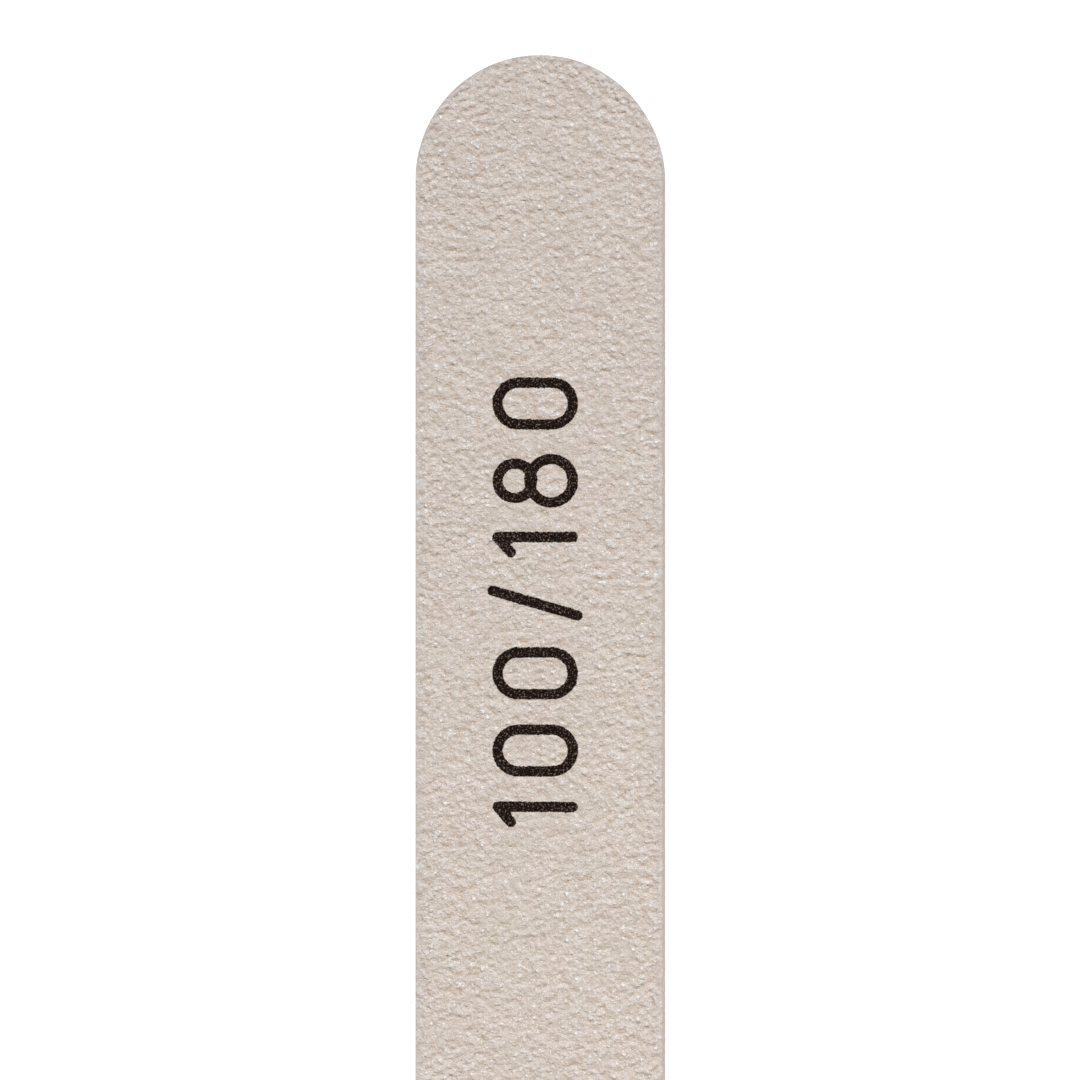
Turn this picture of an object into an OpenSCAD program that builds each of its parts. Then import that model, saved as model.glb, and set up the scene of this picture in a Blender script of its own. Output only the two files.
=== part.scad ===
// Cushioned nail file: a flat board with round ends, laminated from a stiff core, two foam
// pads and two abrasive sheets, and die-cut to its outline in one stroke.
// It lies on its fine face with the coarse face up. Its length runs along Y, its width
// along X and its thickness along Z, and the origin is the middle of the face it lies on.

/* [Board] */
// Overall length of the board
board_l = 178; // [120:1:230]
// Overall width of the board, and the diameter of its round ends
board_w = 19; // [12:0.5:30]

/* [Core] */
// Thickness of the stiff plastic sheet in the middle
core_t = 0.8; // [0.4:0.1:1.6]

/* [Cushion] */
// Thickness of each foam pad
foam_t = 0.9; // [0.7:0.1:2]
// How far the cut edge of a foam pad draws in at half its height
foam_dish = 0.12; // [0.04:0.02:0.2]

/* [Adhesive films] */
// Thickness of the film between the core and a foam pad
core_film_t = 0.1; // [0.05:0.01:0.15]
// Thickness of the film between a foam pad and an abrasive sheet
sheet_film_t = 0.1; // [0.05:0.01:0.15]

/* [Abrasive sheets] */
// Thickness of the waterproof backing paper
paper_t = 0.22; // [0.15:0.01:0.35]
// Thickness of the resin coat that anchors the grain
make_coat_t = 0.08; // [0.05:0.01:0.12]
// Thickness of the grain layer on the coarse face
coarse_grain_t = 0.16; // [0.12:0.01:0.25]
// Thickness of the grain layer on the fine face
fine_grain_t = 0.1; // [0.06:0.01:0.12]
// Thickness of the pale anti-clog coat over the grain
top_coat_t = 0.06; // [0.05:0.01:0.1]

/* [Cut edge] */
// Width of the band along each face's edge that the cutting die rolls over
roll_w = 0.8; // [0.5:0.1:1.5]
// How far that band has sunk where it meets the cut edge
roll_drop = 0.08; // [0.05:0.01:0.2]

/* [Hidden] */

// Every arc of the section and of the outline is a true circle
$fn = 96;

// Colours of the layers, as seen on the face and on the cut edge
grit_beige = [0.81, 0.77, 0.73];
resin_tan = [0.74, 0.66, 0.57];
paper_cream = [0.83, 0.78, 0.73];
film_pale = [0.80, 0.75, 0.71];
foam_grey = [0.78, 0.74, 0.70];
core_pale = [0.85, 0.80, 0.76];

// The outline: straight sides of this length between two half circles
edge_r = board_w / 2;
straight_l = board_l - board_w;

// The rolled band is an arc that leaves the flat of the face without a crease
flat_r = edge_r - roll_w;
roll_r = (roll_w * roll_w + roll_drop * roll_drop) / (2 * roll_drop);

// Heights of the joints between layers, from the middle of the core outwards
core_z = core_t / 2;
core_film_z = core_z + core_film_t;
foam_z = core_film_z + foam_t;
sheet_film_z = foam_z + sheet_film_t;
paper_z = sheet_film_z + paper_t;
make_coat_z = paper_z + make_coat_t;
coarse_grain_z = make_coat_z + coarse_grain_t;
fine_grain_z = make_coat_z + fine_grain_t;
lower_half_t = fine_grain_z + top_coat_t;

// The foam's cut edge is an arc between its two faces, which drew in when the die let go
foam_edge_h = foam_t - roll_drop;
dish_r = (foam_edge_h * foam_edge_h / 4 + foam_dish * foam_dish) / (2 * foam_dish);
dish_x = edge_r + dish_r - foam_dish;
dish_z = core_film_z + foam_edge_h / 2;

// Half section of everything from the middle of the core up to a flat face at this height
module below_flat(height) {
    square([edge_r, height]);
}

// Half section of everything up to a face at this height whose rim is rolled down
module below_rolled(height) {
    square([flat_r, height]);
    square([edge_r, height - roll_drop]);
    intersection() {
        translate([flat_r, height - roll_r])
            circle(r = roll_r);
        square([edge_r, height]);
    }
}

// Half section of a flat layer between two heights
module flat_section(low, high) {
    difference() {
        below_flat(high);
        below_flat(low);
    }
}

// Half section of a layer that follows the rolled rim on both its faces
module rolled_section(low, high) {
    difference() {
        below_rolled(high);
        below_rolled(low);
    }
}

// Half section of a foam pad: flat on the core's side, rolled on the sheet's side
module foam_section() {
    difference() {
        below_rolled(foam_z);
        below_flat(core_film_z);
        translate([dish_x, dish_z])
            circle(r = dish_r);
    }
}

// Half section of the core, which is flat on both faces
module core_section() {
    translate([0, -core_z])
        square([edge_r, core_t]);
}

// Sweeps a half section round the board: along the straight sides and about both ends
module board_sweep() {
    translate([0, straight_l / 2, 0])
        rotate([90, 0, 0])
            linear_extrude(height = straight_l) {
                children();
                mirror([1, 0])
                    children();
            }
    for (end = [0, 1])
        mirror([0, end, 0])
            translate([0, straight_l / 2, 0])
                rotate_extrude(angle = 180)
                    children();
}

// Puts a layer that is drawn from the middle of the core outwards on the coarse side
module upper_side() {
    translate([0, 0, lower_half_t])
        children();
}

// Puts the same layer on the fine side, upside down
module lower_side() {
    translate([0, 0, lower_half_t])
        mirror([0, 0, 1])
            children();
}

// Stiff sheet that carries everything else
module core_board() {
    color(core_pale)
        upper_side()
            board_sweep()
                core_section();
}

// Film that bonds a foam pad to the core
module core_adhesive() {
    board_sweep()
        flat_section(core_z, core_film_z);
}

module core_adhesive_top() {
    color(film_pale)
        upper_side()
            core_adhesive();
}

module core_adhesive_bottom() {
    color(film_pale)
        lower_side()
            core_adhesive();
}

// Soft pad that lets the abrasive follow the nail
module foam_pad() {
    board_sweep()
        foam_section();
}

module foam_pad_top() {
    color(foam_grey)
        upper_side()
            foam_pad();
}

module foam_pad_bottom() {
    color(foam_grey)
        lower_side()
            foam_pad();
}

// Film that bonds an abrasive sheet to a foam pad
module sheet_adhesive() {
    board_sweep()
        rolled_section(foam_z, sheet_film_z);
}

module sheet_adhesive_top() {
    color(film_pale)
        upper_side()
            sheet_adhesive();
}

module sheet_adhesive_bottom() {
    color(film_pale)
        lower_side()
            sheet_adhesive();
}

// Paper that carries the abrasive
module backing_paper() {
    board_sweep()
        rolled_section(sheet_film_z, paper_z);
}

module backing_paper_top() {
    color(paper_cream)
        upper_side()
            backing_paper();
}

module backing_paper_bottom() {
    color(paper_cream)
        lower_side()
            backing_paper();
}

// First resin coat, which the grain is set in
module make_coat() {
    board_sweep()
        rolled_section(paper_z, make_coat_z);
}

module make_coat_top() {
    color(resin_tan)
        upper_side()
            make_coat();
}

module make_coat_bottom() {
    color(resin_tan)
        lower_side()
            make_coat();
}

// Packed grain of the coarse face
module coarse_grain_top() {
    color(grit_beige)
        upper_side()
            board_sweep()
                rolled_section(make_coat_z, coarse_grain_z);
}

// Packed grain of the fine face
module fine_grain_bottom() {
    color(grit_beige)
        lower_side()
            board_sweep()
                rolled_section(make_coat_z, fine_grain_z);
}

// Pale coat that keeps filings from clogging the grain
module anti_clog_coat(grain_z) {
    board_sweep()
        rolled_section(grain_z, grain_z + top_coat_t);
}

module anti_clog_coat_top() {
    color(grit_beige)
        upper_side()
            anti_clog_coat(coarse_grain_z);
}

module anti_clog_coat_bottom() {
    color(grit_beige)
        lower_side()
            anti_clog_coat(fine_grain_z);
}

core_board();
core_adhesive_top();
core_adhesive_bottom();
foam_pad_top();
foam_pad_bottom();
sheet_adhesive_top();
sheet_adhesive_bottom();
backing_paper_top();
backing_paper_bottom();
make_coat_top();
make_coat_bottom();
coarse_grain_top();
fine_grain_bottom();
anti_clog_coat_top();
anti_clog_coat_bottom();
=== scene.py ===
"""A cushioned nail file that lies on its fine face on a plain white floor.

Each layer of the board is rebuilt with a finer outline than the CAD mesh has: the two gritty
faces as relief, the foam with cut cells, and the paper, resin and films that show at the edge.
Lengths are in metres. The board runs along Y, its width along X, and the coarse face is up.
"""

import math
from itertools import product

import bpy
import numpy as np
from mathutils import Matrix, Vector


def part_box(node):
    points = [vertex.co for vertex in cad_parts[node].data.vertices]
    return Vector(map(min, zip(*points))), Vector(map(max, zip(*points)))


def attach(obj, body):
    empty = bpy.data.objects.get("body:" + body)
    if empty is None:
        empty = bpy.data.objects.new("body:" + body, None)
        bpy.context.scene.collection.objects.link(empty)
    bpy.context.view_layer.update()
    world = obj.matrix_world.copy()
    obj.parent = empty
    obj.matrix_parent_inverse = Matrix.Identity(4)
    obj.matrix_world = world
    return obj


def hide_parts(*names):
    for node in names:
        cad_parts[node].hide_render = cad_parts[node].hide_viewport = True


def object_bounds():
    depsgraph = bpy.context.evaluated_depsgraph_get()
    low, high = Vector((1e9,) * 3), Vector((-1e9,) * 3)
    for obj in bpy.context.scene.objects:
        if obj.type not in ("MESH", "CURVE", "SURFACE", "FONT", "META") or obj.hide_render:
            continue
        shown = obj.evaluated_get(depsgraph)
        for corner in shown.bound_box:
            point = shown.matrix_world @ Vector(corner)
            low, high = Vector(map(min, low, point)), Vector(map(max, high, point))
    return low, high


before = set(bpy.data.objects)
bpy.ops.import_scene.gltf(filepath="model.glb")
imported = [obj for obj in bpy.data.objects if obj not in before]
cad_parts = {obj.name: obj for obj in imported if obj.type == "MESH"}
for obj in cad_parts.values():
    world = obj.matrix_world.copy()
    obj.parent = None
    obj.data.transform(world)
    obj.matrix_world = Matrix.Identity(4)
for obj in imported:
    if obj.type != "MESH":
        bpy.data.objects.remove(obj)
cad_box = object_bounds()

MM = 0.001
TAU = 2 * math.pi

# The outline: straight sides of twice straight_half between two half circles of edge_r
edge_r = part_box("core_board")[1].x
straight_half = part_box("core_board")[1].y - edge_r
quarter_arc = edge_r * TAU / 4
half_outline = 2 * quarter_arc + 2 * straight_half
core_middle = (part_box("core_board")[0].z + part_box("core_board")[1].z) / 2

# The rim: a band of each face that the cutting die rolled over, and how far it sinks
ROLL_W = 0.8 * MM
roll_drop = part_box("foam_pad_top")[1].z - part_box("sheet_adhesive_top")[0].z
roll_r = (ROLL_W ** 2 + roll_drop ** 2) / (2 * roll_drop)
ROLL_SHARES = (0, 0.12, 0.28, 0.5, 0.75, 1)

# Points round the outline: about 0.12 mm apart on foam, paper and grain, 0.24 mm on the rest
FINE_POINTS = 3144
THIN_POINTS = FINE_POINTS // 2

# Rows of faces up the cut edge of each kind of layer
FOAM_ROWS = 9
CORE_ROWS = 4
PAPER_ROWS = 3
GRAIN_ROWS = 2
THIN_ROWS = 1

# The grid of a gritty face: columns across, rows along the straight and rows in each round end.
# The smooth inner side takes every third line, so each count is a multiple of 3.
FACE_COLUMNS = 96
FACE_ROWS = 795
END_ROWS = 48
UNDERSIDE_STEP = 3
GRID_CROWDING = 0.12

# Relief of the gritty faces, what the coat holds below its deepest hollow, and the clear gap
# between the coat and the bed of grain under it
COARSE_RELIEF = 0.16 * MM
FINE_RELIEF = 0.09 * MM
COAT_FLOOR = 0.015 * MM
BED_CLEARANCE = 0.01 * MM

# The die crushes the grain along the cut edge: what is left of its relief, and over what width
CRUSHED_SHARE = 0.3
CRUSHED_W = 0.45 * MM

# The coarse grain: how far apart its lumps lie or its swells run, and what each adds
CLUMP_SPACING = 0.4 * MM
CLUMP_UNEVEN_SHARE = 0.3
CLUMP_SHARE = 0.7
GRAIN_SPACING = 0.28 * MM
GRAIN_SHARE = 0.35
GENTLE_LENGTH = 0.9 * MM
GENTLE_SHARE = 0.03
PATCH_LENGTH = 8 * MM
PATCH_SHARE = 0.1

# The fine grain, in the same way
FINE_SPACING = 0.36 * MM
FINE_SWELL_LENGTH = 1.6 * MM
FINE_SWELL_SHARE = 0.05

# The cut edges: how far apart the marks of the cut lie, and how deep they are
CHATTER_LENGTH = 3 * MM
CHATTER_DEPTH = 0.004 * MM
FIBRE_SPACING = 0.16 * MM
FIBRE_DEPTH = 0.014 * MM
BROKEN_SPACING = 0.22 * MM
BROKEN_DEPTH = 0.03 * MM
CELL_SPACING = 0.2 * MM
CELL_DEPTH = 0.05 * MM

# The foam's cut edge draws in by this much at half its height. A share of it has no cut
# cells, and close to the sheets the cells fade to a share of their depth.
FOAM_DISH = 0.12 * MM
CELL_FLAT_SHARE = 0.25
CELL_RIM_SHARE = 0.25
CELL_FADE = 6

# Random lumps: a table of rows with three shares for the place and one for the height, how a
# cell picks its row, and how closely neighbours keep their own shape
LUMP_TABLE = 4096
HEIGHT_COLUMN = 3
CELL_PRIMES = (73856093, 19349663, 83492791)
KEY_MASK = 0xFFFFFFFF
KEY_SPREAD = 2654435761
KEY_SHIFT = 13
LUMP_BLEND = 7.0

# Lengths of the waves in a swell, as shares of its wavelength
WAVE_SHARES = (0.7, 1.6)

# Edges that turn by more than this are drawn sharp
SHARP_TURN = math.radians(48)


def height_range(node):
    """How far a layer's two faces lie from the middle of the core, without the roll."""
    low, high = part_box(node)
    return sorted((abs(low.z - core_middle), abs(high.z - core_middle)))


def roll(inset):
    """How far a face has sunk at this distance in from the cut edge."""
    run = np.clip(ROLL_W - inset, 0, ROLL_W)
    return roll_r - np.sqrt(roll_r ** 2 - run ** 2)


def scatter(cells, seed):
    """A fixed random row of shares for each whole-numbered cell."""
    table = np.random.default_rng(seed).random((LUMP_TABLE, HEIGHT_COLUMN + 1))
    key = np.zeros(len(cells), dtype=np.int64)
    for axis in range(cells.shape[1]):
        key = (key ^ (cells[:, axis] * CELL_PRIMES[axis])) & KEY_MASK
        key = (key * KEY_SPREAD ^ (key >> KEY_SHIFT)) & KEY_MASK
    return table[key % LUMP_TABLE]


def lumps(points, spacing, seed, uneven=0.5):
    """Height of packed round lumps about this far apart, which melt into each other."""
    cells = np.floor(points / spacing).astype(np.int64)
    total = np.zeros(len(points))
    for offset in product((-1, 0, 1), repeat=points.shape[1]):
        near = cells + offset
        share = scatter(near, seed)
        centre = (near + share[:, :points.shape[1]]) * spacing
        gap = ((points - centre) ** 2).sum(axis=1) / spacing ** 2
        total += np.exp(LUMP_BLEND * (uneven * share[:, HEIGHT_COLUMN] - gap))
    return np.log(total) / LUMP_BLEND


def swell(points, wavelength, seed, waves=24):
    """A gentle random swell of about this wavelength, mostly between -1 and 1."""
    rng = np.random.default_rng(seed)
    total = np.zeros(len(points))
    for _ in range(waves):
        heading = rng.random() * TAU
        length = wavelength * rng.uniform(*WAVE_SHARES)
        across = points[:, 0] * math.cos(heading) + points[:, 1] * math.sin(heading)
        total += np.sin(TAU * (across / length + rng.random()))
    return total / math.sqrt(waves)


def settle(heights, low_share=0.045, high_share=0.955):
    """Stretches heights to run from 0 to 1, with the rare extremes cut off."""
    low, high = np.quantile(heights, (low_share, high_share))
    return np.clip((heights - low) / (high - low), 0, 1)


def coarse_grit(points):
    """Height of the coarse grain, from 0 to 1: clumps and grains, with smoother patches."""
    clumps = lumps(points, CLUMP_SPACING, seed=11, uneven=CLUMP_UNEVEN_SHARE)
    grains = lumps(points, GRAIN_SPACING, seed=12)
    gentle = swell(points, GENTLE_LENGTH, seed=13)
    patchy = 1 + PATCH_SHARE * swell(points, PATCH_LENGTH, seed=14)
    packed = CLUMP_SHARE * clumps + GRAIN_SHARE * grains + GENTLE_SHARE * gentle
    return settle((packed - packed.mean()) * patchy)


def fine_grit(points):
    """Height of the fine grain, from 0 to 1."""
    grains = lumps(points, FINE_SPACING, seed=21)
    slow = swell(points, FINE_SWELL_LENGTH, seed=22)
    return settle(grains + FINE_SWELL_SHARE * slow)


def outline(count):
    """Points round the board from the far tip, as the centres and directions of its radii."""
    along = np.linspace(0, half_outline, count // 2 + 1)
    first_turn = np.clip(along / edge_r, 0, TAU / 4)
    last_turn = np.clip((along - quarter_arc - 2 * straight_half) / edge_r, 0, TAU / 4)
    turn = first_turn + last_turn
    centre_y = np.clip(straight_half - (along - quarter_arc), -straight_half, straight_half)
    centres = np.stack([np.zeros_like(turn), centre_y], axis=1)
    radii = np.stack([np.sin(turn), np.cos(turn)], axis=1)
    back = slice(-2, 0, -1)
    centres = np.concatenate([centres, centres[back]])
    radii = np.concatenate([radii, radii[back] * (-1, 1)])
    return centres, radii


def new_piece(name, points, faces, side, slot, replaces, floats=None):
    """Makes one piece of the board from points that are measured up from the core's middle."""
    points = np.array(points, dtype=float)
    points[:, 2] = core_middle + side * points[:, 2]
    if side < 0:
        faces = [face[::-1] for face in faces]
    mesh = bpy.data.meshes.new(name)
    mesh.from_pydata(points.tolist(), [], faces)
    mesh.update()
    mesh.shade_smooth()
    mesh.set_sharp_from_angle(angle=SHARP_TURN)
    for key, values in (floats or {}).items():
        layer = mesh.attributes.new(key, "FLOAT", "POINT")
        layer.data.foreach_set("value", np.asarray(values, dtype=np.float32))
    mesh.materials.append(MATERIALS[slot])
    piece = bpy.data.objects.new(name, mesh)
    bpy.context.scene.collection.objects.link(piece)
    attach(piece, "root")
    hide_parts(replaces)
    return piece


def ladder(first, count):
    """Faces across one closed ring whose points mirror each other about X = 0."""
    half = count // 2
    faces = [(first, first + 1, first + count - 1)]
    for k in range(1, half - 1):
        faces.append((first + k, first + k + 1, first + count - k - 1, first + count - k))
    faces.append((first + half - 1, first + half, first + half + 1))
    return faces


def side_faces(rings, count):
    """Faces that join each ring of points to the next one."""
    faces = []
    for below in range(0, (rings - 1) * count, count):
        above = below + count
        for k in range(count):
            after = (k + 1) % count
            faces.append((below + k, above + k, above + after, below + after))
    return faces


def slab(low, high, low_rolled, high_rolled, count, rows, wall):
    """A closed layer between two heights. wall gives how far its cut edge is drawn in."""
    centres, radii = outline(count)
    low_rim = low - (roll_drop if low_rolled else 0)
    high_rim = high - (roll_drop if high_rolled else 0)
    rings = []

    def add_ring(drawn_in, level):
        """A ring of points at one height, drawn in from the outline."""
        flat = centres + radii * (edge_r - drawn_in)[:, None]
        rings.append(np.column_stack([flat, np.full(count, level)]))

    def add_rolled(share, height):
        """A ring on a rolled face, at this share of the rim's width."""
        inset = share * ROLL_W
        add_ring(np.full(count, inset), height - roll(inset))

    if low_rolled:
        for share in ROLL_SHARES[:0:-1]:
            add_rolled(share, low)
    for row in range(rows + 1):
        share = row / rows
        level = low_rim + (high_rim - low_rim) * share
        rim = np.column_stack([centres + radii * edge_r, np.full(count, level)])
        add_ring(wall(rim, share), level)
    if high_rolled:
        for share in ROLL_SHARES[1:]:
            add_rolled(share, high)
    faces = side_faces(len(rings), count)
    faces += ladder(0, count)
    faces += [face[::-1] for face in ladder((len(rings) - 1) * count, count)]
    return np.concatenate(rings), faces


def plain_wall(points, share):
    """A clean cut with the slight chatter of the die."""
    return CHATTER_DEPTH * settle(swell(points, CHATTER_LENGTH, seed=31))


def paper_wall(points, share):
    """A cut through paper: fine fibres stand out unevenly."""
    return FIBRE_DEPTH * settle(lumps(points, FIBRE_SPACING, seed=32))


def grain_wall(points, share):
    """A cut through bonded grain: broken grains stand out of the resin."""
    return BROKEN_DEPTH * settle(lumps(points, BROKEN_SPACING, seed=33))


def foam_wall(points, share):
    """The foam's cut edge: it draws in at half height and its cut cells are small pits."""
    dish = FOAM_DISH * 4 * share * (1 - share)
    pits = settle(lumps(points, CELL_SPACING, seed=34), low_share=CELL_FLAT_SHARE)
    fade = min(1, CELL_FADE * min(share, 1 - share) + CELL_RIM_SHARE)
    return dish + CELL_DEPTH * fade * pits


def crowd(share):
    """Moves grid lines, from -1 to 1, a little towards the cut edge."""
    return share * (1 + GRID_CROWDING) - GRID_CROWDING * share ** 3


def face_grid(step):
    """Grid points of a face, rows along Y, that end exactly on the outline."""
    across = crowd(np.linspace(-1, 1, FACE_COLUMNS // step + 1))
    end_share = crowd(np.arange(END_ROWS, 0, -step) / END_ROWS)
    straight = np.linspace(-straight_half, straight_half, FACE_ROWS // step + 1)
    rows = []
    for share in end_share:
        rows.append((share, -1))
    for y in straight:
        rows.append((0, y))
    for share in end_share[::-1]:
        rows.append((share, 1))
    grid = []
    for share, place in rows:
        x = edge_r * across * math.sqrt(1 - share ** 2 / 2)
        if share:
            y = place * (straight_half + edge_r * share * np.sqrt(1 - across ** 2 / 2))
        else:
            y = np.full_like(across, place)
        grid.append(np.stack([x, y], axis=1))
    return np.stack(grid)


def inset_of(points):
    """How far each point lies in from the cut edge."""
    beyond = np.maximum(np.abs(points[:, 1]) - straight_half, 0)
    return edge_r - np.hypot(points[:, 0], beyond)


def grid_faces(rows, columns, first=0):
    """Square faces of a grid of points, facing up."""
    faces = []
    for row in range(rows - 1):
        for column in range(columns - 1):
            corner = first + row * columns + column
            faces.append((corner, corner + 1, corner + columns + 1, corner + columns))
    return faces


def grid_border(rows, columns, first=0):
    """The points round the border of a grid, anticlockwise seen from above, closed."""
    index = first + np.arange(rows * columns).reshape(rows, columns)
    sides = (index[0, :-1], index[:-1, -1], index[-1, :0:-1], index[:0:-1, 0], index[0, :1])
    return np.concatenate(sides).tolist()


def gritty_face(high, relief, grit, ink=None):
    """A closed coat whose outer side is the grain's relief and whose inner side is smooth."""
    outer = face_grid(1)
    inner = face_grid(UNDERSIDE_STEP)
    outer_flat = outer.reshape(-1, 2)
    inner_flat = inner.reshape(-1, 2)
    inset = inset_of(outer_flat)
    whole = CRUSHED_SHARE + (1 - CRUSHED_SHARE) * np.clip(inset / CRUSHED_W, 0, 1)
    depth = (1 - grit(outer_flat)) * whole
    outer_z = high - roll(inset) - relief * depth
    inner_z = high - roll(inset_of(inner_flat)) - relief - COAT_FLOOR
    points = np.concatenate([
        np.column_stack([outer_flat, outer_z]),
        np.column_stack([inner_flat, inner_z]),
    ])
    first = len(outer_flat)
    faces = grid_faces(*outer.shape[:2])
    faces += [face[::-1] for face in grid_faces(*inner.shape[:2], first)]
    top_border = grid_border(*outer.shape[:2])
    low_border = grid_border(*inner.shape[:2], first)
    for k in range(len(low_border) - 1):
        above = top_border[UNDERSIDE_STEP * k:UNDERSIDE_STEP * (k + 1) + 1]
        faces.append((low_border[k], low_border[k + 1], *above[::-1]))
    floats = {
        "depth": np.concatenate([depth, np.ones(len(inner_flat))]),
        "inset": np.concatenate([inset, np.zeros(len(inner_flat))]),
    }
    if ink is not None:
        floats["ink_gap"] = np.concatenate([ink(outer_flat), np.full(len(inner_flat), edge_r)])
    return points, faces, floats


# The grit numbers: each stroke is a line from one point to another, in shares of the height
# of a numeral, with the radius at which the pen keeps from that line
NUMERAL_H = 6.8 * MM
NUMERAL_X = -0.3 * MM
NUMERAL_Y = 47.0 * MM
STROKE_SHARE = 0.125
SPACE_SHARE = 0.25
NUMERAL_SHARES = {
    "0": (0.62, [(0.31, 0.31, 0.31, 0.69, 0.235)]),
    "1": (0.34, [(0.265, 0.075, 0.265, 0.925, 0), (0.265, 0.925, 0.09, 0.775, 0)]),
    "8": (0.62, [(0.31, 0.32, 0.31, 0.32, 0.245), (0.31, 0.73, 0.31, 0.73, 0.195)]),
    "/": (0.46, [(0.09, 0.02, 0.37, 0.98, 0)]),
}
MARK = "100/180"

# Keeps a stroke that is a single point from dividing by nothing
LEAST_SQUARE = MM ** 3


def mark_strokes():
    """Every stroke of the mark in board coordinates, read from the near end to the tip."""
    widths = [NUMERAL_SHARES[sign][0] for sign in MARK]
    length = sum(widths) + SPACE_SHARE * (len(MARK) - 1)
    centre = np.array([NUMERAL_X, NUMERAL_Y])
    start = -length / 2
    strokes = []
    for sign, width in zip(MARK, widths):
        for ax, ay, bx, by, radius in NUMERAL_SHARES[sign][1]:
            a = np.array([0.5 - ay, start + ax]) * NUMERAL_H
            b = np.array([0.5 - by, start + bx]) * NUMERAL_H
            strokes.append((centre + a, centre + b, radius * NUMERAL_H))
        start += width + SPACE_SHARE
    return strokes


def ink_gap(points):
    """Signed distance of each point from the ink's outline, negative inside it."""
    nearest = np.full(len(points), edge_r)
    for a, b, radius in mark_strokes():
        line = b - a
        share = np.clip((points - a) @ line / max(line @ line, LEAST_SQUARE), 0, 1)
        gap = np.linalg.norm(points - a - share[:, None] * line, axis=1)
        nearest = np.minimum(nearest, np.abs(gap - radius))
    return nearest - STROKE_SHARE * NUMERAL_H / 2


def rgb(red, green, blue):
    return (red, green, blue, 1.0)


def put(tree, socket, value):
    """Joins a socket to another node's output, or sets its value."""
    if isinstance(value, bpy.types.NodeSocket):
        tree.links.new(value, socket)
    else:
        socket.default_value = value


def mix_colours(tree, share, first, second):
    """The output of a node that mixes two colours. Its sockets for colours are 6 and 7."""
    made = tree.nodes.new("ShaderNodeMix")
    made.data_type = "RGBA"
    put(tree, made.inputs[0], share)
    put(tree, made.inputs[6], first)
    put(tree, made.inputs[7], second)
    return made.outputs[2]


class Shader:
    """A material's node tree, with short ways to add and join nodes."""

    def __init__(self, name):
        self.material = bpy.data.materials.new(name)
        self.material.use_nodes = True
        self.tree = self.material.node_tree
        self.surface = self.tree.nodes["Principled BSDF"]
        coords = self.tree.nodes.new("ShaderNodeTexCoord")
        self.place = coords.outputs["Object"]

    def node(self, kind, values, output=0, **settings):
        """Adds a node, fills its sockets by name or number and returns one output."""
        made = self.tree.nodes.new(kind)
        for key, value in settings.items():
            setattr(made, key, value)
        for key, value in values.items():
            put(self.tree, made.inputs[key], value)
        return made.outputs[output]

    def math(self, operation, *values):
        return self.node("ShaderNodeMath", dict(enumerate(values)), operation=operation)

    def vector(self, operation, values):
        return self.node("ShaderNodeVectorMath", values, operation=operation)

    def noise(self, size, detail=2.0, roughness=0.5, output="Fac"):
        values = {"Vector": self.place, "Scale": 1 / size, "Detail": detail, "Roughness": roughness}
        return self.node("ShaderNodeTexNoise", values, output=output)

    def cells(self, size, output="Distance", place=None):
        values = {"Vector": place or self.place, "Scale": 1 / size}
        return self.node("ShaderNodeTexVoronoi", values, output=output)

    def warp(self, size, reach):
        """Places pushed about by up to this reach, so that cells lose their even outlines."""
        push = self.noise(size, output="Color")
        push = self.vector("SUBTRACT", {0: push, 1: (0.5, 0.5, 0.5)})
        push = self.vector("SCALE", {0: push, "Scale": 2 * reach})
        return self.vector("ADD", {0: self.place, 1: push})

    def attribute(self, name):
        made = self.tree.nodes.new("ShaderNodeAttribute")
        made.attribute_name = name
        return made.outputs["Fac"]

    def span(self, value, low, high, to_low=0.0, to_high=1.0):
        """Maps low..high to to_low..to_high, and clamps."""
        values = {
            "Value": value,
            "From Min": low,
            "From Max": high,
            "To Min": to_low,
            "To Max": to_high,
        }
        return self.node("ShaderNodeMapRange", values)

    def mix(self, share, first, second):
        return mix_colours(self.tree, share, first, second)

    def bump(self, height, depth, below=None, strength=1.0):
        values = {"Height": height, "Distance": depth, "Strength": strength}
        if below is not None:
            values["Normal"] = below
        return self.node("ShaderNodeBump", values)

    def finish(self, colour, roughness, shine, normal):
        """Fills the surface's sockets. shine is how much it mirrors."""
        put(self.tree, self.surface.inputs["Base Color"], colour)
        put(self.tree, self.surface.inputs["Roughness"], roughness)
        put(self.tree, self.surface.inputs["Specular IOR Level"], shine)
        put(self.tree, self.surface.inputs["Normal"], normal)
        return self.material

    def mottled(self, pattern, span, colours, depth, roughness, shine):
        """A surface whose colour and bump both follow one pattern."""
        colour = self.mix(self.span(pattern, *span), *colours)
        return self.finish(colour, roughness, shine, self.bump(pattern, depth))


# Colours of the gritty faces: high grain, hollows of resin and painted shade, a painted glint for
# clear grains and sparkles, and the two tints of patches
GRIT_HIGH = rgb(0.716, 0.694, 0.686)
# Brown of the hollows: resin in part, painted shade of the hollows in part
GRIT_LOW = rgb(0.503, 0.367, 0.266)
# Near-white painted glint that clear grains and sparkles take in place of a highlight
GRIT_PAINTED_GLINT = rgb(0.965, 0.937, 0.905)
GRIT_ROSY = rgb(1.007, 0.993, 1.005)
GRIT_GREENISH = rgb(0.993, 1.007, 0.995)

# Shades that multiply the face's colour near the cut edge and on its last sliver: crushed grain in
# part and painted shade of the rolled rim in part
RIM_SHADE = rgb(0.93, 0.95, 0.975)
RIM_LINE = rgb(0.86, 0.83, 0.82)
RIM_SHADE_SPAN = (0.2 * MM, 0.8 * MM)
RIM_LINE_SPAN = (0.04 * MM, 0.16 * MM)
NO_SHADE = rgb(1, 1, 1)

# Where most of a noise lies
NOISE_SPAN = (0.35, 0.65)

# Pebbles of the bump: their warp and their foot as shares of a pebble, and their range of height
WARP_SIZE_SHARE = 0.7
WARP_REACH_SHARE = 0.45
FOOT_SHARE = 0.62
RISE_RANGE = (-0.5, 1.0)

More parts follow.
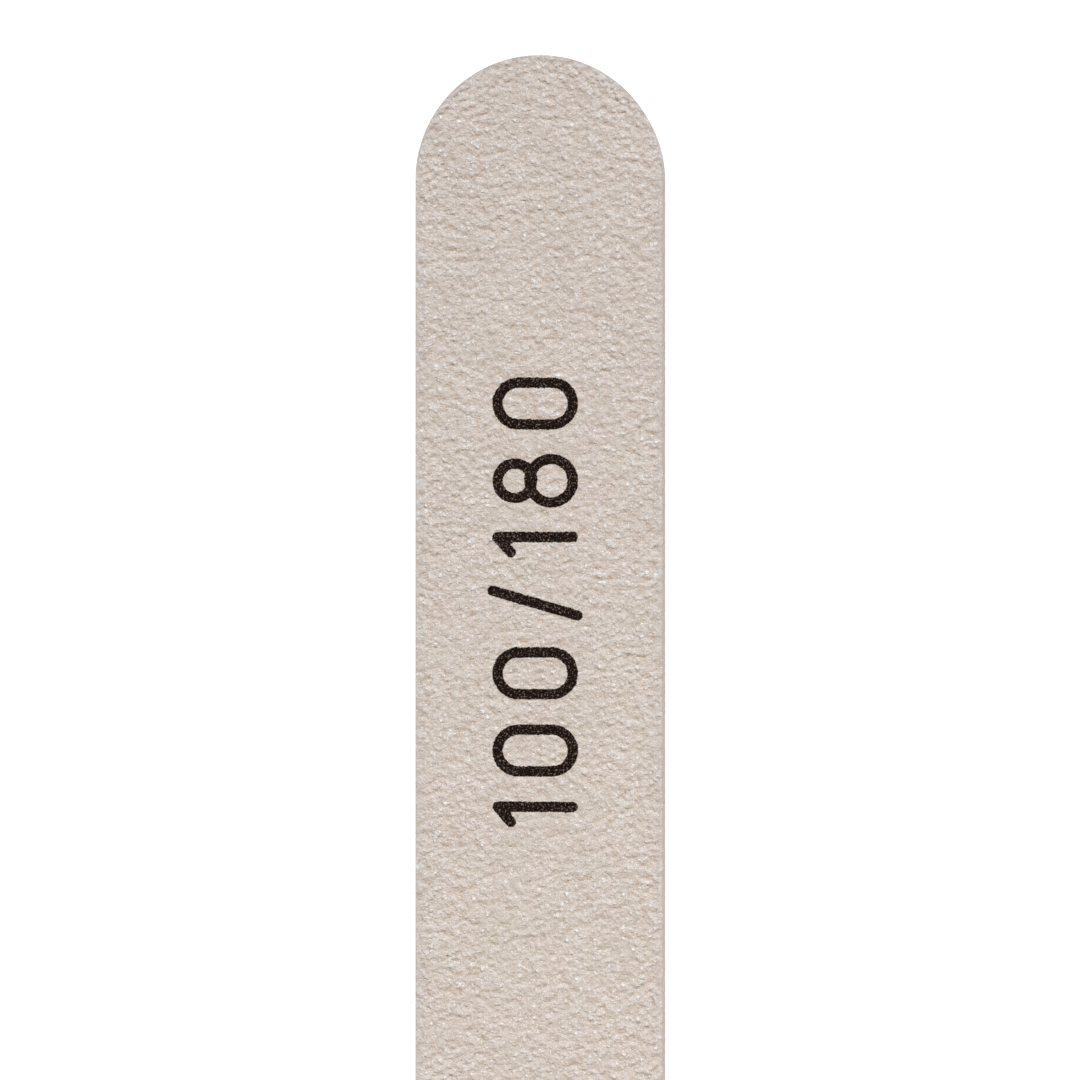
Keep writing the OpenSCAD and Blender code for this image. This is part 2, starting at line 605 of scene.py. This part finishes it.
# Noises smaller than a pebble, as shares of it, and the depth of each bump as a share of the
# depth that the material is given
MICRO_SHARE = 0.88
TINY_SHARE = 0.35
SPARKLE_SHARE = 0.26
PEBBLE_BUMP_SHARE = 1.4
MICRO_BUMP_SHARE = 4.0

# What makes a hollow brown, as resin in part and as painted shade of the hollow in part: the
# relief's depth, less the pebble's rise and the tiny noise
DEPTH_SHARE = 0.3
RISE_SHARE = 0.5
TINY_NOISE_SHARE = -0.7
HOLLOW_SPAN = (-0.75, 0.75)

# Clear grains: which pebbles are clear, where on them, how much painted glint they take, the
# painted sparkle between them, and how rough and how mirroring the face is
CLEAR_CHANCE_SPAN = (0.86, 0.96)
CLEAR_TOP_SPAN = (0.35, 0.6)
PAINTED_GLINT_SHARE = 0.8
SPARKLE_SPAN = (0.6, 0.74)
PAINTED_SPARKLE_LEVEL = 0.85
CLEAR_ROUGHNESS_RANGE = (0.65, 0.35)
FACE_SHINE = 0.06

# Slow patches of brightness, hue and depth of grain
BRIGHT_PATCH = 4 * MM
BRIGHT_RANGE = (0.98, 1.02)
HUE_PATCH = 2.5 * MM
GRIP_PATCH = 8 * MM
GRIP_RANGE = (0.82, 1.0)

# Ink: full and thin, the noises that break its outline and thin it, and how the grain takes it
INK = rgb(0.006, 0.002, 0.0005)
INK_THIN = rgb(0.235, 0.166, 0.13)
INK_BREAK = 0.12 * MM
INK_RAGGED = 0.16 * MM
INK_SOFT = 0.02 * MM
INK_LIFT_MIDDLE = 0.4
INK_LIFT_SHARE = 0.4
THIN_PATCH = 0.14 * MM
THIN_SPAN = (0.55, 0.73)
CLEAR_INK_SPAN = (0.5, 0.9)
CLEAR_INK_SHARE = 0.5


def pebbles(sh, pebble):
    """Round pebbles: their domes, a random chance for each, and their uneven rise."""
    place = sh.warp(pebble * WARP_SIZE_SHARE, pebble * WARP_REACH_SHARE)
    share = sh.math("DIVIDE", sh.cells(pebble, place=place), FOOT_SHARE)
    square = sh.math("MULTIPLY", share, share)
    dome = sh.math("SUBTRACT", 1.0, sh.math("MINIMUM", square, 1.0))
    chance = sh.node("ShaderNodeSeparateColor", {"Color": sh.cells(pebble, "Color", place)})
    rise = sh.math("MULTIPLY", dome, sh.span(chance, 0.0, 1.0, *RISE_RANGE))
    return dome, chance, rise


def grain_colour(sh, rise, tiny):
    """Pale high grain and brown hollows, the brown being resin in part and painted shade in part,
    with slow patches of hue.
    """
    hollow = sh.math("MULTIPLY", sh.attribute("depth"), DEPTH_SHARE)
    hollow = sh.math("SUBTRACT", hollow, sh.math("MULTIPLY", rise, RISE_SHARE))
    tiny_part = sh.math("MULTIPLY", sh.math("SUBTRACT", tiny, 0.5), TINY_NOISE_SHARE)
    hollow = sh.math("ADD", hollow, tiny_part)
    # The hollows' brown is resin in part and painted shade of the hollows in part
    colour = sh.mix(sh.span(hollow, *HOLLOW_SPAN), GRIT_HIGH, GRIT_LOW)
    hue = sh.span(sh.noise(HUE_PATCH), *NOISE_SPAN)
    return sh.vector("MULTIPLY", {0: colour, 1: sh.mix(hue, GRIT_ROSY, GRIT_GREENISH)})


def clear_grain(sh, dome, chance, tiny):
    """Where a pebble is clear, from 0 to 1: its colour takes a painted glint there, and its
    roughness falls.
    """
    top = sh.span(sh.math("MULTIPLY", dome, tiny), *CLEAR_TOP_SPAN)
    return sh.math("MULTIPLY", sh.span(chance, *CLEAR_CHANCE_SPAN), top)


def glinting(sh, colour, clear, pebble):
    """The grain's colour with painted glints on its clear grains and painted sparkles, in slow
    patches of brightness.
    """
    # Painted sparkle and glints: near-white specks put into the colour in place of highlights
    painted_sparkle = sh.noise(pebble * SPARKLE_SHARE, detail=1.0)
    painted_sparkle = sh.span(painted_sparkle, *SPARKLE_SPAN, 0.0, PAINTED_SPARKLE_LEVEL)
    glint = sh.math("MAXIMUM", sh.math("MULTIPLY", clear, PAINTED_GLINT_SHARE), painted_sparkle)
    bright = sh.span(sh.noise(BRIGHT_PATCH, detail=3.0), *NOISE_SPAN, *BRIGHT_RANGE)
    return sh.vector("SCALE", {0: sh.mix(glint, colour, GRIT_PAINTED_GLINT), "Scale": bright})


def rim_shaded(sh, colour, inset):
    """The colour darkened along the cut edge, in a band and a darker line on its last sliver:
    crushed grain in part, painted shade of the rolled rim in part.
    """
    # Painted shade of the rolled rim in part, crushed grain in part: a cool band and a darker line
    # on the last sliver
    rim = sh.mix(sh.span(inset, *RIM_SHADE_SPAN), RIM_SHADE, NO_SHADE)
    rim = sh.mix(sh.span(inset, *RIM_LINE_SPAN), RIM_LINE, rim)
    return sh.vector("MULTIPLY", {0: colour, 1: rim})


def inked_over(sh, colour, clear, rise):
    """The colour with the mark printed on it, ragged and thin where the grain breaks it."""
    ragged = sh.math("SUBTRACT", sh.noise(INK_BREAK, detail=3.0), 0.5)
    lift = sh.math("MULTIPLY", sh.math("SUBTRACT", rise, INK_LIFT_MIDDLE), INK_LIFT_SHARE)
    ragged = sh.math("MULTIPLY", sh.math("SUBTRACT", ragged, lift), INK_RAGGED)
    edge = sh.math("ADD", sh.attribute("ink_gap"), ragged)
    inked = sh.span(edge, -INK_SOFT, INK_SOFT, 1.0, 0.0)
    thin = sh.span(sh.noise(THIN_PATCH, detail=3.0), *THIN_SPAN)
    ink = sh.mix(thin, INK, INK_THIN)
    ink = sh.mix(sh.span(clear, *CLEAR_INK_SPAN, 0.0, CLEAR_INK_SHARE), ink, GRIT_LOW)
    return sh.mix(inked, colour, ink)


def grain_normal(sh, pebble, depth, rise, inset):
    """Bumps of the pebbles and of the grain on them, weaker on the crushed rim."""
    micro = sh.noise(pebble * MICRO_SHARE)
    whole = sh.span(inset, 0.0, CRUSHED_W, CRUSHED_SHARE, 1.0)
    patch = sh.span(sh.noise(GRIP_PATCH), *NOISE_SPAN, *GRIP_RANGE)
    grip = sh.math("MULTIPLY", whole, patch)
    normal = sh.bump(rise, depth * PEBBLE_BUMP_SHARE, strength=grip)
    return sh.bump(micro, depth * MICRO_BUMP_SHARE, normal, grip)


def grit_material(name, pebble, depth, printed):
    """The abrasive face: pale coated grain, brown in its hollows from resin and painted shade, with
    painted glints on clear grains.
    """
    sh = Shader(name)
    dome, chance, rise = pebbles(sh, pebble)
    tiny = sh.noise(pebble * TINY_SHARE, roughness=0.6)
    inset = sh.attribute("inset")
    clear = clear_grain(sh, dome, chance, tiny)
    colour = glinting(sh, grain_colour(sh, rise, tiny), clear, pebble)
    colour = rim_shaded(sh, colour, inset)
    if printed:
        colour = inked_over(sh, colour, clear, rise)
    roughness = sh.span(clear, 0.0, 1.0, *CLEAR_ROUGHNESS_RANGE)
    normal = grain_normal(sh, pebble, depth, rise, inset)
    return sh.finish(colour, roughness, FACE_SHINE, normal)


def edge_grit_material(name):
    """Grain and resin cut through."""
    sh = Shader(name)
    colours = (rgb(0.62, 0.54, 0.46), rgb(0.38, 0.30, 0.23))
    return sh.mottled(
        sh.cells(size=0.12 * MM), span=(0.1, 0.7), colours=colours,
        depth=0.02 * MM, roughness=0.7, shine=0.1)


def resin_material():
    """Brown glue resin with a slow mottle."""
    sh = Shader("bond_resin")
    colours = (rgb(0.46, 0.36, 0.27), rgb(0.56, 0.46, 0.36))
    return sh.mottled(
        sh.noise(size=0.2 * MM, detail=3.0), span=NOISE_SPAN, colours=colours,
        depth=0.01 * MM, roughness=0.5, shine=0.15)


def paper_material():
    """Matt paper with fine fibres."""
    sh = Shader("backing_paper")
    colours = (rgb(0.55, 0.47, 0.405), rgb(0.70, 0.61, 0.545))
    return sh.mottled(
        sh.noise(size=0.06 * MM, detail=3.0), span=(0.3, 0.7), colours=colours,
        depth=0.015 * MM, roughness=0.9, shine=0.05)


def film_material():
    """Adhesive, slightly smeared."""
    sh = Shader("adhesive_film")
    colours = (rgb(0.53, 0.46, 0.40), rgb(0.62, 0.55, 0.485))
    return sh.mottled(
        sh.noise(size=0.5 * MM), span=(0.3, 0.7), colours=colours,
        depth=0.01 * MM, roughness=0.5, shine=0.15)


def foam_material():
    """Matt foam with small cells."""
    sh = Shader("foam")
    colours = (rgb(0.48, 0.42, 0.375), rgb(0.61, 0.54, 0.49))
    return sh.mottled(
        sh.cells(size=0.11 * MM), span=(0.1, 0.6), colours=colours,
        depth=0.03 * MM, roughness=0.9, shine=0.05)


def core_material():
    """Plastic sheet with the faint drag of the cut."""
    sh = Shader("core_plastic")
    colours = (rgb(0.64, 0.55, 0.485), rgb(0.70, 0.61, 0.545))
    return sh.mottled(
        sh.noise(size=0.3 * MM, detail=3.0), span=(0.3, 0.7), colours=colours,
        depth=0.01 * MM, roughness=0.45, shine=0.15)


MATERIALS = {
    "coarse_face": grit_material("coarse_face", pebble=0.36 * MM, depth=0.035 * MM, printed=True),
    "fine_face": grit_material("fine_face", pebble=0.24 * MM, depth=0.03 * MM, printed=False),
    "coarse_grit": edge_grit_material("coarse_grit"),
    "fine_grit": edge_grit_material("fine_grit"),
    "bond_resin": resin_material(),
    "backing_paper": paper_material(),
    "adhesive_film": film_material(),
    "foam": foam_material(),
    "core_plastic": core_material(),
}

# Which of a layer's two faces follow the rolled rim: the one near the core, and the outer one
FLAT = (False, False)
OUTER_ROLLED = (False, True)
BOTH_ROLLED = (True, True)

# How each kind of layer is made: points round it, rows up its cut edge, and how it is cut
THIN = (THIN_POINTS, THIN_ROWS, plain_wall)
CORE = (THIN_POINTS, CORE_ROWS, plain_wall)
FOAM = (FINE_POINTS, FOAM_ROWS, foam_wall)
PAPER = (FINE_POINTS, PAPER_ROWS, paper_wall)
GRAIN = (FINE_POINTS, GRAIN_ROWS, grain_wall)


def layer_piece(name, side, node, slot, rolled, build, cut=0.0):
    """One smooth layer of the board, where its CAD node is, less what is cut off its top."""
    low, high = height_range(node)
    if rolled[0]:
        low += roll_drop
    points, faces = slab(low, high - cut, *rolled, *build)
    return new_piece(name, points, faces, side, slot, node)


def core_piece():
    """The stiff sheet in the middle."""
    half = height_range("core_board")[0]
    points, faces = slab(-half, half, *FLAT, *CORE)
    return new_piece("core", points, faces, 1, "core_plastic", "core_board")


def grain_bed(side, end, kind, relief):
    """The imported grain, cut down to make room for the relief of the coat over it."""
    node = f"{kind}_grain_{end}"
    outer = height_range(f"anti_clog_coat_{end}")[1]
    bed_top = outer - relief - COAT_FLOOR - BED_CLEARANCE
    cut = height_range(node)[1] - bed_top
    return layer_piece(f"{kind}_grain_bed", side, node, f"{kind}_grit", BOTH_ROLLED, GRAIN, cut)


def coat_piece(side, end, kind, relief, grit, ink):
    """The gritty face itself."""
    node = f"anti_clog_coat_{end}"
    points, faces, floats = gritty_face(height_range(node)[1], relief, grit, ink)
    return new_piece(f"{kind}_coat", points, faces, side, f"{kind}_face", node, floats)


def board_side(side, end, kind, relief, grit, ink=None):
    """Every layer on one side of the core, from the core outwards."""
    film, paper, resin = "adhesive_film", "backing_paper", "bond_resin"
    layer_piece(f"{kind}_core_film", side, f"core_adhesive_{end}", film, FLAT, THIN)
    foam = layer_piece(f"{kind}_foam_pad", side, f"foam_pad_{end}", "foam", OUTER_ROLLED, FOAM)
    layer_piece(f"{kind}_sheet_film", side, f"sheet_adhesive_{end}", film, BOTH_ROLLED, THIN)
    layer_piece(f"{kind}_paper", side, f"backing_paper_{end}", paper, BOTH_ROLLED, PAPER)
    layer_piece(f"{kind}_resin", side, f"make_coat_{end}", resin, BOTH_ROLLED, THIN)
    grain_bed(side, end, kind, relief)
    coat_piece(side, end, kind, relief, grit, ink)


core_piece()
board_side(1, "top", "coarse", COARSE_RELIEF, coarse_grit, ink_gap)
board_side(-1, "bottom", "fine", FINE_RELIEF, fine_grit)

# The picture, almost square-on from above: its size, the board's width, tip and middle in its
# pixels, the lens and the tilt that lets the cut edge show
PICTURE_PX = 1080
PX_PER_BOARD_W = 248
TIP_PX = 55
CENTRE_X_PX = 539
LENS = 0.2
SENSOR = 0.036
SIDE_TILT = math.radians(3.8)
NEAREST_SEEN = 10 * MM

px = 2 * edge_r / PX_PER_BOARD_W
picture_size = PICTURE_PX * px
aim_y = straight_half + edge_r - (PICTURE_PX / 2 - TIP_PX) * px
aim_x = (PICTURE_PX / 2 - CENTRE_X_PX) * px
face_top = cad_box[1].z

# The floor: its size, how far it lies below the board, what it reflects on to the board, and
# what the camera sees of it
FLOOR_HALF = 2.0
FLOOR_GAP = 0.015 * MM
FLOOR_ROUGHNESS = 0.9
FLOOR_LIT = 0.8
FLOOR_SEEN = 0.12
FLOOR_GLOW = 0.95

# Light: the fill's share of full light, and the hues of the fill and of the two softboxes
FILL_LEVEL = 0.20
FILL_COLOUR = rgb(1.4, 1.0, 0.6)
KEY_COLOUR = (0.856, 1.0, 1.144)
NEAR_COLOUR = (1.03, 1.0, 0.95)
WHITE = rgb(1, 1, 1)


def add_camera():
    """Looks straight down at the tip, from slightly to the right, so the cut edge just shows."""
    data = bpy.data.cameras.new("camera")
    data.lens = LENS / MM
    data.sensor_width = SENSOR / MM
    data.clip_start = NEAREST_SEEN
    camera = bpy.data.objects.new("camera", data)
    distance = picture_size * LENS / SENSOR
    away = Vector((math.sin(SIDE_TILT), 0, math.cos(SIDE_TILT)))
    camera.location = Vector((aim_x, aim_y, face_top)) + away * distance
    camera.rotation_euler = (0, SIDE_TILT, 0)
    bpy.context.scene.collection.objects.link(camera)
    bpy.context.scene.camera = camera


def seen_share(tree):
    """1 for what the camera, mirrors and glass see, and 0 for what lights the board."""
    path = tree.nodes.new("ShaderNodeLightPath")
    total = path.outputs["Is Camera Ray"]
    for name in ("Is Glossy Ray", "Is Transmission Ray"):
        add = tree.nodes.new("ShaderNodeMath")
        add.operation = "MAXIMUM"
        tree.links.new(total, add.inputs[0])
        tree.links.new(path.outputs[name], add.inputs[1])
        total = add.outputs[0]
    return total


def by_share(tree, share, low, high, socket):
    """Fills a socket with one value where the share is 0, and with another where it is 1."""
    level = tree.nodes.new("ShaderNodeMapRange")
    tree.links.new(share, level.inputs["Value"])
    level.inputs["To Min"].default_value = low
    level.inputs["To Max"].default_value = high
    tree.links.new(level.outputs[0], socket)


def floor_material():
    """White, with most of what the camera sees of it as a plain glow."""
    material = bpy.data.materials.new("floor")
    material.use_nodes = True
    tree = material.node_tree
    surface = tree.nodes["Principled BSDF"]
    surface.inputs["Roughness"].default_value = FLOOR_ROUGHNESS
    surface.inputs["Emission Color"].default_value = WHITE
    seen = seen_share(tree)
    by_share(tree, seen, FLOOR_LIT, FLOOR_SEEN, surface.inputs["Base Color"])
    by_share(tree, seen, 0.0, FLOOR_GLOW, surface.inputs["Emission Strength"])
    return material


def add_floor():
    """A white floor that keeps the board's shadow."""
    mesh = bpy.data.meshes.new("floor")
    signs = ((-1, -1), (1, -1), (1, 1), (-1, 1))
    corners = [(x * FLOOR_HALF, y * FLOOR_HALF, -FLOOR_GAP) for x, y in signs]
    mesh.from_pydata(corners, [], [(0, 1, 2, 3)])
    mesh.materials.append(floor_material())
    floor = bpy.data.objects.new("floor", mesh)
    bpy.context.scene.collection.objects.link(floor)


def add_world():
    """Even soft light from all round, and plain white where the camera sees past the floor."""
    world = bpy.data.worlds.new("studio")
    world.use_nodes = True
    bpy.context.scene.world = world
    tree = world.node_tree
    background = tree.nodes["Background"]
    seen = seen_share(tree)
    by_share(tree, seen, FILL_LEVEL, 1.0, background.inputs["Strength"])
    tree.links.new(mix_colours(tree, seen, FILL_COLOUR, WHITE), background.inputs["Color"])


def add_lamp(name, azimuth, elevation, distance, size, power, colour):
    """A round softbox that faces the picture's middle. Azimuth 0 is straight beyond the tip."""
    data = bpy.data.lights.new(name, "AREA")
    data.shape = "DISK"
    data.size = size
    data.energy = power
    data.color = colour
    lamp = bpy.data.objects.new(name, data)
    turn = math.radians(azimuth)
    rise = math.radians(elevation)
    level = math.cos(rise)
    away = Vector((math.sin(turn) * level, math.cos(turn) * level, math.sin(rise)))
    lamp.location = Vector((0, aim_y, 0)) + away * distance
    lamp.rotation_mode = "QUATERNION"
    lamp.rotation_quaternion = away.to_track_quat("Z", "Y")
    lamp.visible_camera = False
    bpy.context.scene.collection.objects.link(lamp)
    return lamp


def add_lamps():
    """A key light beyond the tip, which rakes the grain, and a small near one for the low end."""
    add_lamp(
        "key", azimuth=6.0, elevation=38, distance=4.0, size=0.7, power=186.0, colour=KEY_COLOUR)
    near_fill = add_lamp(
        "near_fill", azimuth=155, elevation=55, distance=0.15, size=0.1, power=0.046,
        colour=NEAR_COLOUR)
    near_fill.visible_glossy = False


add_camera()
add_floor()
add_world()
add_lamps()
bpy.context.scene.view_settings.view_transform = "Standard"
